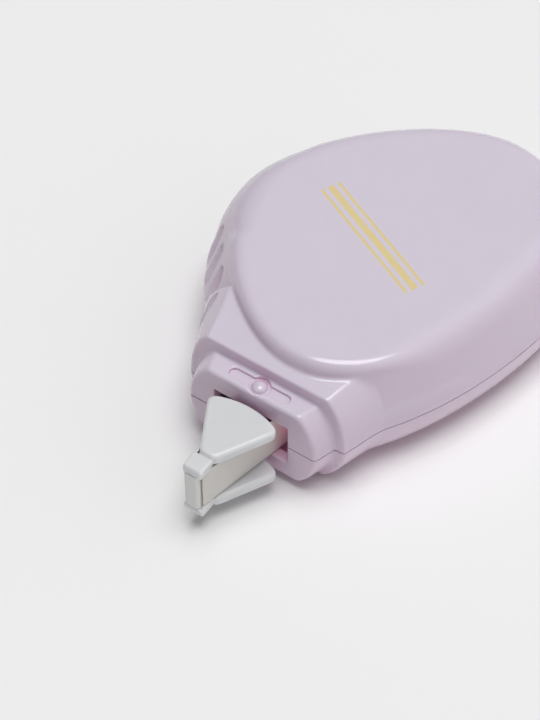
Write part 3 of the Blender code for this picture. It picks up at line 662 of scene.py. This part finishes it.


# Materials: base colour, its drift, roughness, grain in millimetres and, for the case, the colour of painted
# shade in folds, on flanks and underneath

LILAC = ("d6cedb", "d3cad8", 0.14, 0.6, "dcaacb")
WHITE = ("d7d8da", "d4d5d7", 0.3, 0.4)
PAPER = ("f0f0f0", "efefef", 0.9, 0.3)
GOLD = "dfcd98"
INSIDE_GRAIN = 0.5
DRIFT_SIZE = 8.0
GRAIN_SPREAD = 0.15
FOLD_REACH = 5.0
FOLD_OPEN = 0.6
FOLD_UNDER = 0.5
FOLD_SAMPLES = 6
STRIPE_MIDDLE = ORIGIN + (21.0, 0.0, CASE_HEIGHT)
STRIPE_TURN = radians(65.0)
STRIPE_HALF_LENGTH = 8.0
STRIPE_HALF_HEIGHT = 0.2
STRIPES = ((-1.0, 0.16), (0.0, 0.36), (1.0, 0.16))
SOFT = {"Subsurface_Weight": 0.35, "Subsurface_Radius": (1.0, 0.6, 0.75), "Subsurface_Scale": 0.4 * MM}
MILKY = {"Subsurface_Weight": 0.6, "Subsurface_Radius": (1.0, 0.95, 0.9), "Subsurface_Scale": 1.0 * MM}


def colour(code):
    """Linear colour of an sRGB hex code."""
    values = [int(code[k : k + 2], 16) / 255 for k in (0, 2, 4)]
    return (*[v / 12.92 if v <= 0.04045 else ((v + 0.055) / 1.055) ** 2.4 for v in values], 1.0)


def node(tree, kind, settings, **inputs):
    """Adds a node with its settings. An input is a value or the socket that feeds it."""
    made = tree.nodes.new(kind)
    for key, value in settings.items():
        setattr(made, key, value)
    for key, value in inputs.items():
        socket = made.inputs[int(key[1:]) if key[0] == "_" else key.replace("_", " ")]
        if isinstance(value, bpy.types.NodeSocket):
            tree.links.new(value, socket)
        else:
            socket.default_value = value
    return made


def maths(tree, operation, *values):
    inputs = {"_%d" % k: value for k, value in enumerate(values)}
    return node(tree, "ShaderNodeMath", {"operation": operation}, **inputs).outputs[0]


def mix(tree, share, first, second):
    return node(tree, "ShaderNodeMix", {"data_type": "RGBA"}, _0=share, _6=first, _7=second).outputs[2]


def paint_fold_shade(tree, shade, painted_shade):
    """Painted shade: mixes a deeper mauve into the colour where ambient occlusion finds folds and hollows,
    and more on faces that turn sideways or down.
    """
    fold = node(tree, "ShaderNodeAmbientOcclusion", {"samples": FOLD_SAMPLES}, Distance=FOLD_REACH * MM)
    facing = node(tree, "ShaderNodeNewGeometry", {}).outputs["Normal"]
    upward = node(tree, "ShaderNodeSeparateXYZ", {}, Vector=facing).outputs["Z"]
    lit = node(tree, "ShaderNodeMapRange", {}, Value=upward, From_Min=-1.0, To_Min=FOLD_UNDER)
    clear = node(tree, "ShaderNodeMapRange", {}, Value=fold.outputs["AO"], From_Max=FOLD_OPEN)
    plain = maths(tree, "MULTIPLY", lit.outputs[0], clear.outputs[0])
    return mix(tree, plain, colour(painted_shade), shade)


def moulded(name, base, tint, roughness, grain_mm, painted_shade=None, **shader_values):
    """A faint drift of shade and a fine grain that softens the gloss, as on moulded plastic or paper."""
    made = bpy.data.materials.new(name)
    made.use_nodes = True
    tree = made.node_tree
    shader = tree.nodes["Principled BSDF"]
    place = node(tree, "ShaderNodeTexCoord", {}).outputs["Object"]
    drift = node(tree, "ShaderNodeTexNoise", {}, Vector=place, Scale=1 / (DRIFT_SIZE * MM), Detail=2.0)
    shade = mix(tree, drift.outputs["Fac"], colour(base), colour(tint))
    # Painted shade for the case: a deeper mauve in folds and on faces turned away from the overhead light.
    if painted_shade:
        shade = paint_fold_shade(tree, shade, painted_shade)
    tree.links.new(shade, shader.inputs["Base Color"])
    grain = node(tree, "ShaderNodeTexNoise", {}, Vector=place, Scale=1 / (grain_mm * MM), Detail=3.0)
    spread = node(
        tree, "ShaderNodeMapRange", {}, Value=grain.outputs["Fac"],
        To_Min=roughness * (1 - GRAIN_SPREAD), To_Max=roughness * (1 + GRAIN_SPREAD),
    )
    tree.links.new(spread.outputs[0], shader.inputs["Roughness"])
    for key, value in shader_values.items():
        shader.inputs[key.replace("_", " ")].default_value = value
    return made


def stamp_stripes(made):
    """Hot stamped foil: three plain stripes across the dome top, a warm glint on the lilac."""
    tree = made.node_tree
    shader = tree.nodes["Principled BSDF"]
    place = node(tree, "ShaderNodeTexCoord", {}).outputs["Object"]
    turned = node(
        tree, "ShaderNodeMapping", {"vector_type": "TEXTURE"},
        Vector=place, Location=STRIPE_MIDDLE * MM, Rotation=(0.0, 0.0, STRIPE_TURN),
    )
    along, across, up = node(tree, "ShaderNodeSeparateXYZ", {}, Vector=turned.outputs[0]).outputs
    mask = 0.0
    for offset, half in STRIPES:
        mask = maths(tree, "MAXIMUM", mask, maths(tree, "COMPARE", across, offset * MM, half * MM))
    for value, half in ((along, STRIPE_HALF_LENGTH), (up, STRIPE_HALF_HEIGHT)):
        mask = maths(tree, "MULTIPLY", mask, maths(tree, "COMPARE", value, 0.0, half * MM))
    plastic = shader.inputs["Base Color"].links[0].from_socket
    tree.links.new(mix(tree, mask, plastic, colour(GOLD)), shader.inputs["Base Color"])


lilac_upper = moulded("lilac_abs_gloss_mould_upper", *LILAC, **SOFT)
lilac_lower = moulded("lilac_abs_gloss_mould_lower", *LILAC, **SOFT)
stamp_stripes(lilac_upper)
white_head = moulded("white_pom_satin_mould", *WHITE, **MILKY)
NODE_LOOKS = {
    "film_run": ("white_film_matte_coat", "e4e4e2", "dededb", 0.6),
    "supply_tape_roll": ("white_film_wound", "e4e4e2", "dcdcd9", 0.6),
    "liner_run": ("greige_release_paper", "d6d3ce", "d1cec9", 0.55),
    "take_up_roll": ("greige_release_paper_wound", "bcb8b2", "b2aea8", 0.55),
    "supply_gear": ("grey_pom_satin_gear", "c2c4c7", "bcbec1", 0.45),
    "take_up_gear": ("grey_pom_satin_pinion", "c2c4c7", "bcbec1", 0.45),
    "supply_cap": ("natural_ps_disc", "e6e3d9", "e0dcd2", 0.35),
    "supply_reel": ("natural_ps_core", "e6e3d9", "e0dcd2", 0.4),
    "take_up_flange": ("natural_ps_flange", "e6e3d9", "e0dcd2", 0.35),
    "clutch_ring": ("black_nitrile_matte", "2a2a2a", "303030", 0.7),
}
for name, look in NODE_LOOKS.items():
    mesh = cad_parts[name].data
    mesh.materials.clear()
    mesh.materials.append(moulded(*look, INSIDE_GRAIN))


# Pieces


def tape_piece(node_name, ends_at=None):
    """A thin tape with eased edges in place of a CAD band. Its tip end is drawn up to the band before it."""
    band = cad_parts[node_name]
    mesh = band.data.copy()
    if ends_at is not None:
        tip = sorted(mesh.vertices, key=lambda v: v.co.x)[:TAPE_END_POINTS]
        for vertex in tip:
            goal = min(ends_at, key=lambda corner: (Vector(corner) - vertex.co).length)
            vertex.co += (Vector(goal) - vertex.co) * TAPE_JOIN
    made = bpy.data.objects.new(node_name + "_band", mesh)
    bpy.context.scene.collection.objects.link(made)
    made.matrix_world = band.matrix_world
    ease = made.modifiers.new("eased_edges", "BEVEL")
    ease.width = TAPE_EDGE * MM
    ease.segments = 2
    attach(made, "case")
    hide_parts(node_name)
    return made


# Grids, finest at the nozzle, the gate slot and the parting line
plan_x = grid_lines((-0.4, 2.6, 0.09), (2.6, 5.0, 0.15), (5.0, 18.0, 0.2), (18.0, REAR_X + 0.5, 0.32))
plan_y = grid_lines(
    (PLAIN_Y - 0.5, -9.4, 0.32), (-9.4, -4.0, 0.18), (-4.0, 4.0, 0.1),
    (4.0, 9.4, 0.18), (9.4, GRIP_Y + 0.5, 0.2),
)
upper_z = grid_lines(
    (PARTING - 0.1, PARTING + 0.3, 0.05), (PARTING + 0.3, 9.0, 0.2), (9.0, 10.6, 0.15),
    (10.6, 11.8, 0.08), (11.8, CASE_HEIGHT + 0.3, 0.14),
)
lower_z = grid_lines(
    (-0.3, PARTING - 0.3, 0.25), (PARTING - 0.3, PARTING + 0.8, 0.05), (PARTING + 0.8, AXLE_TOP + 0.5, 0.25)
)
head_axes = (
    grid_lines((TIP_FRONT - 0.2, TAIL_END + 1.9, 0.1)),
    grid_lines((-4.4, 4.4, 0.1)),
    grid_lines((TAPE_BOTTOM - 1.8, TAPE_TOP + 1.8, 0.1)),
)
piece("upper_case_moulding", upper_field, (plan_x, plan_y, upper_z), "upper_case", lilac_upper)
piece("lower_case_moulding", lower_field, (plan_x, plan_y, lower_z), "lower_case", lilac_lower)
piece("tip_head_moulding", head_field, head_axes, "tip_head", white_head)
film = tape_piece("film_run")
nose = [v.co for v in film.data.vertices if v.co.x < (TIP_FRONT + ORIGIN[0] + TAPE_NOSE) * MM]
tape_piece("liner_run", sorted(nose, key=lambda corner: corner.y)[:TAPE_END_POINTS])


# Studio


def make_softbox():
    """A square soft light overhead, aimed at the origin."""
    data = bpy.data.lights.new("overhead_softbox", "AREA")
    data.shape = "RECTANGLE"
    data.size, data.size_y = SOFTBOX_SIZE
    data.energy = SOFTBOX_POWER
    made = bpy.data.objects.new("overhead_softbox", data)
    bpy.context.scene.collection.objects.link(made)
    made.location = SOFTBOX_PLACE
    made.rotation_mode = "QUATERNION"
    made.rotation_quaternion = (-Vector(SOFTBOX_PLACE)).to_track_quat("-Z", "Y")


def make_soaked_light():
    """The light that soaks through the case and shows in its mouth."""
    data = bpy.data.lights.new("soaked_light", "POINT")
    data.energy = SOAKED_POWER
    data.color = colour(SOAKED_COLOUR)[:3]
    data.shadow_soft_size = SOAKED_RADIUS * MM
    made = bpy.data.objects.new("soaked_light", data)
    bpy.context.scene.collection.objects.link(made)
    made.location = (np.array(SOAKED_PLACE) + ORIGIN) * MM


def make_floor():
    mesh = bpy.data.meshes.new("paper_sweep")
    corners = [(x * FLOOR_REACH, y * FLOOR_REACH, 0) for x, y in ((-1, -1), (1, -1), (1, 1), (-1, 1))]
    mesh.from_pydata(corners, [], [(0, 1, 2, 3)])
    floor = bpy.data.objects.new("paper_sweep", mesh)
    bpy.context.scene.collection.objects.link(floor)
    mesh.materials.append(moulded("white_paper_sweep", *PAPER))


def make_world():
    """A pale room, lighter on the plain side."""
    world = bpy.data.worlds.new("pale_room")
    bpy.context.scene.world = world
    world.use_nodes = True
    tree = world.node_tree
    way = node(tree, "ShaderNodeTexCoord", {}).outputs["Generated"]
    along = node(tree, "ShaderNodeVectorMath", {"operation": "DOT_PRODUCT"}, _0=way, _1=ROOM_SIDE)
    shade = node(
        tree, "ShaderNodeMapRange", {},
        Value=along.outputs["Value"], From_Min=-1.0, To_Min=ROOM_DARK, To_Max=ROOM_LIGHT,
    )
    tree.links.new(shade.outputs[0], tree.nodes["Background"].inputs["Strength"])
    tree.nodes["Background"].inputs["Color"].default_value = colour("ffffff")


def make_camera():
    data = bpy.data.cameras.new("camera")
    data.lens = CAMERA_LENS
    data.sensor_width = CAMERA_SENSOR
    camera = bpy.data.objects.new("camera", data)
    bpy.context.scene.collection.objects.link(camera)
    turn, rise = radians(CAMERA_AZIMUTH), radians(CAMERA_ELEVATION)
    back = Vector((sin(turn) * cos(rise), -cos(turn) * cos(rise), sin(rise)))
    target = Vector(CAMERA_TARGET) + Vector(ORIGIN)
    camera.location = (target + back * CAMERA_DISTANCE) * MM
    camera.rotation_mode = "QUATERNION"
    camera.rotation_quaternion = (-back).to_track_quat("-Z", "Y")
    data.clip_start, data.clip_end = CAMERA_CLIP
    bpy.context.scene.camera = camera


make_floor()
make_world()
make_camera()
make_softbox()
make_soaked_light()
bpy.context.scene.view_settings.view_transform = "Standard"
